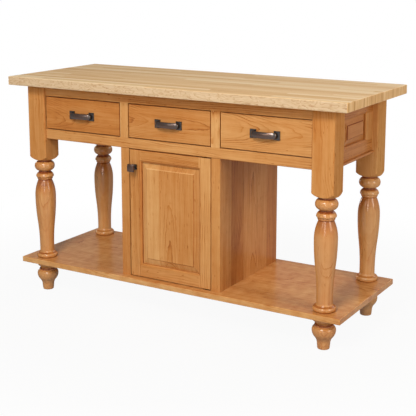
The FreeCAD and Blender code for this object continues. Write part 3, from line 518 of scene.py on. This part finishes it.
# Drawers. An inset cherry front eased on all edges, in front of a box of pale birch boards with a thin
# bottom held in grooves; each runs on a pair of three-part steel slides.
DRAWER_TONES = {"left": 0.24, "middle": 0.12, "right": -0.02}
DRAWER_FIGURES = {"left": 0.10, "middle": 0.18, "right": 0.24}
DRAWER_HEART = -0.165
HEART_RISE = 0.012
BIRCH = [(0.0, shade(238, 214, 176)), (0.5, shade(226, 196, 150)), (1.0, shade(196, 158, 110))]


def pale_board(name, seed):
    """Clear-lacquered birch, nearly plain, with fine streaks along y."""
    finish = Finish(name, **{"Coat Roughness": 0.3})
    x, y, z = finish.place()
    streak = finish.noise(x * 60.0, y * 4.0 + seed, z * 60.0, 3.0)
    fibre = finish.noise(x * 420.0, y * 22.0, z * 420.0, 2.0)
    cloud = finish.noise(x * 7.0 + seed, y * 5.0, z * 7.0, 1.0)
    depth = (streak - 0.5) * 0.9 + (fibre - 0.5) * 0.35 + cloud
    finish.wear(
        colour=finish.ramp(depth, BIRCH),
        roughness=0.42 + (fibre - 0.5) * 0.2,
        coat=0.15 + (cloud - 0.5) * 0.1,
        normal=finish.bump(fibre, 0.1, 0.0003),
    )
    return finish


for number, (drawer, tone) in enumerate(DRAWER_TONES.items()):
    heart_height = middle(f"{drawer}_drawer_front", Z_AXIS) + HEART_RISE * (number - 1)
    drawer_wood = stained_cherry(
        f"cherry_{drawer}_drawer_front", "X", heart=(DRAWER_HEART, heart_height),
        seed=81.0 + 3.7 * number, tone=tone, lean=0.07, gap=0.0044, figure=DRAWER_FIGURES[drawer],
        stain_and_painted_light=stain_and_shade_on_edges,
    )
    dress(drawer_wood, f"{drawer}_drawer_front")
    box_wood = pale_board(f"birch_{drawer}_drawer_box", seed=5.0 * number)
    dress(box_wood, f"{drawer}_drawer_box", f"{drawer}_drawer_bottom")
    dress(zinc, f"{drawer}_slide_middle_members", f"{drawer}_slide_drawer_members")
dress(zinc, "slide_cabinet_members")

# Pulls and knob. Cast bronze, darkened and rubbed back so that copper shows where hands touch it; the
# door's pivot pins and their sockets have the same dark finish.
BRONZE_DARK = (*shade(86, 82, 80), 1)
BRONZE_RUBBED = (*shade(102, 80, 71), 1)
RUB_START = 0.013
RUB_END = 0.032
RUB_WANDER = 0.03


def rubbed_bronze(name):
    """Dark bronze whose copper shows on what stands out in front of the drawers."""
    finish = Finish(name, **{"Specular IOR Level": 0.5})
    x, y, z = finish.place()
    blotch = finish.noise(x * 60.0, y * 60.0, z * 60.0, 3.0) - 0.5
    pitting = finish.noise(x * 900.0, y * 900.0, z * 900.0, 2.0)
    in_front = extent("middle_drawer_front", Y_AXIS)[0] - y
    rubbed = finish.step(in_front + blotch * RUB_WANDER, RUB_START, RUB_END)
    finish.wear(
        colour=finish.blend(rubbed, BRONZE_DARK, BRONZE_RUBBED),
        metallic=0.95,
        roughness=0.25 + blotch * 0.1,
        normal=finish.bump(pitting, 0.03, 0.0003),
    )
    return finish


bronze = rubbed_bronze("rubbed_bronze")
dress(bronze, "door_knob", *(f"{drawer}_drawer_pull" for drawer in DRAWER_TONES))
dress(bronze, "door_pivot_pins", "door_pivot_sockets")

# Worktop. Edge-grain maple strips glued side by side along the island, each made of several lengths
# butted end to end, planed flat, eased on every arris and oiled. The ends show end grain.
STRIP = 0.0285
FIRST_SEAM = STRIP * 40.5
SEAM_WIDTH = 0.0009
SHORTEST_LENGTH = 0.7
LENGTH_SPREAD = 0.6
MAPLE_HEART = 0.86
MAPLE_GAP = 0.0034
MAPLE = [
    (0.0, shade(242, 214, 170)),
    (0.4, shade(232, 194, 141)),
    (0.7, shade(217, 170, 109)),
    (1.0, shade(182, 127, 68)),
]
PALE_MAPLE = [(0.0, shade(218, 194, 162)), (0.5, shade(202, 173, 136)), (1.0, shade(174, 128, 90))]


def edge_grain_maple(name):
    """Oiled maple strips along x: streaked on top, curly on the long edges, end grain on the ends."""
    finish = Finish(name, **{"Coat Roughness": 0.25, "Specular IOR Level": 0.02})
    x, y, z = finish.place()
    normal_x, normal_y, _ = finish.facing()
    end_face = finish.step(normal_x * normal_x, 0.4, 0.8)
    long_edge = finish.step(normal_y * normal_y, 0.4, 0.8)
    # Painted highlight: the eased arrises beside the long edges are made paler in the edge's colour.
    arris = finish.step(normal_y * normal_y, 0.1, 0.3) * finish.step(normal_y * normal_y, 0.9, 0.7)

    strip = finish.floor((y + FIRST_SEAM) / STRIP)
    strip_draw = finish.chance(strip + 11.0)
    length = finish.floor((x + strip_draw * 5.0 + 4.0) / (strip_draw * LENGTH_SPREAD + SHORTEST_LENGTH))
    draw = finish.chance(strip * 17.0 + length * 3.0)
    seam_sockets = {0: y + FIRST_SEAM, 1: STRIP / 2}
    from_seam = finish.node("ShaderNodeMath", {"operation": "PINGPONG"}, seam_sockets)
    seam = finish.step(from_seam, SEAM_WIDTH, 0.0)

    along = x + draw * 9.0
    across = y + (draw - 0.5) * 0.3
    lift = z + (strip_draw - 0.5) * 0.2
    sway = finish.noise(along * 3.0, across * 8.0, lift * 8.0, 1.5) - 0.5
    radius = (across * across + (lift - MAPLE_HEART) ** 2.0) ** 0.5 + along * 0.012 + sway * 0.02
    growth = radius / MAPLE_GAP
    late = (growth - finish.floor(growth)) ** 2.2
    fibre = finish.noise(along * 10.0, across * 480.0, lift * 480.0, 3.0) - 0.5
    streak = finish.noise(along * 2.2, across * 90.0, lift * 90.0, 3.0) - 0.5
    year = finish.noise(x * 2.0, y * 150.0 + strip * 3.0, z * 9.0, 2.0) - 0.5
    board_tone = (draw - 0.5) * (0.65 - end_face * 0.47)
    lengthwise = (streak + late * 0.16 + seam * 0.14) * (1.0 - end_face)
    endwise = (year * 1.3 + 0.30) * end_face
    depth = board_tone + lengthwise + endwise + fibre * 0.22 + 0.28

    swirl = finish.noise(x * 15.0, y * 15.0, z * 42.0, 2.5) * 8.0
    curl_line = (swirl - finish.floor(swirl)) ** 4.0
    ripple = finish.noise(x * 34.0, y * 160.0, z * 230.0, 2.0) - 0.5
    # The long edges' colour, paler on their arrises as a painted highlight.
    edge_depth = curl_line * 0.55 + ripple * 0.5 + streak * 0.4 + 0.30 - arris * 0.4
    finish.wear(
        colour=finish.blend(long_edge, finish.ramp(depth, MAPLE), finish.ramp(edge_depth, PALE_MAPLE)),
        roughness=0.44 + fibre * 0.2,
        coat=0.15 + streak * 0.10,
        normal=finish.bump(fibre * 0.5 - seam * 0.6, 0.1, 0.0003),
    )
    return finish


dress(edge_grain_maple("edge_grain_maple"), "butcher_block_top")

# Studio. A white floor that runs up into a white surround, broad soft lamps, and a camera that stands
# to the right of the island and a little above it.
LENS_PIXELS = 976.0
FRAME_PIXELS = 416
LENS_ROW = 145
SENSOR = 36.0
CAMERA_PLACE = (2.0007, -3.2785, 1.3774)
CAMERA_DIP = 0.18636
CAMERA_TURN = 0.54046
camera_data = bpy.data.cameras.new("view")
camera_data.sensor_width = SENSOR
camera_data.lens = LENS_PIXELS / FRAME_PIXELS * SENSOR
camera_data.shift_y = (LENS_ROW - FRAME_PIXELS / 2) / FRAME_PIXELS
camera = bpy.data.objects.new("view", camera_data)
camera.location = CAMERA_PLACE
camera.rotation_euler = (math.pi / 2 - CAMERA_DIP, 0.0, CAMERA_TURN)
bpy.context.scene.collection.objects.link(camera)
bpy.context.scene.camera = camera

FLOOR_REACH = 40.0
FLOOR_GREY = 0.42
SHADOW_REACH = (0.7, 1.9)
SHADOW_DEPTH = 0.06
FLOOR_LEE = 0.45
SKY_LEE = 0.35
SKY_TINT = (1.0, 0.975, 0.94, 1)
SKY_STRENGTH = 0.2
WHITE = (1, 1, 1, 1)


def seen_rays(graph):
    """Whether a ray comes from the camera, a mirror or a glass."""
    rays = graph.node("ShaderNodeLightPath").socket.node.outputs
    return [Wire(graph, rays[name]) for name in ("Is Camera Ray", "Is Glossy Ray", "Is Transmission Ray")]


def brightness(graph, value, low, high, lee):
    """What mirrors show of the white round the island: dimmed to lee on the side away from the lamps."""
    return lee + graph.step(value, low, high) * (1.0 - lee)


floor_mesh = bpy.data.meshes.new("studio_floor")
floor_ends = (-FLOOR_REACH, FLOOR_REACH)
floor_corners = [(east, north, 0) for north in floor_ends for east in floor_ends]
floor_mesh.from_pydata(floor_corners, [], [(0, 1, 3, 2)])
floor = bpy.data.objects.new("studio_floor", floor_mesh)
bpy.context.scene.collection.objects.link(floor)
paper = Finish("white_floor", **{"Base Color": (FLOOR_GREY, FLOOR_GREY, FLOOR_GREY, 1), "Roughness": 0.9})
east, north, _ = paper.place()
camera_ray, glossy_ray, through_ray = seen_rays(paper)
far = paper.step((east * east + north * north) ** 0.5, *SHADOW_REACH)
mirrored = glossy_ray * brightness(paper, east, -3.0, 0.5, FLOOR_LEE)
shown = (camera_ray + through_ray + mirrored) * (1.0 - SHADOW_DEPTH + far * SHADOW_DEPTH)
glow = paper.node("ShaderNodeEmission", {}, {"Color": WHITE, "Strength": 1.0})
lit = paper.node("ShaderNodeMixShader", {}, {0: shown, 1: paper.surface, 2: glow})
paper.feed(paper.output.inputs["Surface"], lit)
floor_mesh.materials.append(paper.material)

world = bpy.data.worlds.new("white_surround")
world.use_nodes = True
bpy.context.scene.world = world
sky = Graph(world.node_tree)
east, _, height = sky.split(sky.node("ShaderNodeTexCoord", output="Generated"))
camera_ray, glossy_ray, through_ray = seen_rays(sky)
below_ceiling = 1.0 - sky.step(height, 0.55, 0.85)
mirrored = glossy_ray * below_ceiling * brightness(sky, east, -0.8, 0.1, SKY_LEE)
shown = camera_ray + through_ray + mirrored
dim = sky.node("ShaderNodeBackground", {}, {"Color": SKY_TINT, "Strength": SKY_STRENGTH})
white = sky.node("ShaderNodeBackground", {}, {"Color": WHITE, "Strength": 1.0})
surround = sky.node("ShaderNodeMixShader", {}, {0: shown, 1: dim, 2: white})
sky.node("ShaderNodeOutputWorld", {}, {"Surface": surround}, output=None)

WARM_WHITE = (1.0, 0.962, 0.905)
AMBER_WHITE = (1.0, 0.905, 0.79)
APRON = (0.0, 0.0, 0.6)
CABINET = (0.0, 0.0, 0.5)
RIGHT_BAY = (0.2, 0.0, 0.5)


def softbox(name, place, aim, size, power, colour=WARM_WHITE):
    """A large rectangular lamp turned towards a point."""
    lamp = bpy.data.lights.new(name, "AREA")
    lamp.shape = "RECTANGLE"
    lamp.size, lamp.size_y = size
    lamp.energy = power
    lamp.color = colour
    holder = bpy.data.objects.new(name, lamp)
    holder.location = place
    holder.rotation_euler = (Vector(aim) - Vector(place)).to_track_quat("-Z", "Y").to_euler()
    bpy.context.scene.collection.objects.link(holder)


softbox("key_softbox", (0.5, -3.1, 3.2), APRON, size=(1.2, 1.1), power=101.0)
softbox("right_softbox", (3.5, -0.7, 1.75), RIGHT_BAY, size=(0.9, 1.8), power=42.0, colour=AMBER_WHITE)
softbox("front_softbox", (1.25, -3.75, 1.55), APRON, size=(0.6, 2.2), power=34.0)
softbox("left_softbox", (-0.9, -4.0, 2.0), APRON, size=(1.0, 0.9), power=12.0)
softbox("back_softbox", (1.4, 3.4, 2.4), CABINET, size=(1.6, 1.2), power=32.0)
softbox("low_back_softbox", (-3.7, 1.9, 0.65), CABINET, size=(0.8, 0.6), power=26.0)

bpy.context.scene.view_settings.view_transform = "Standard"
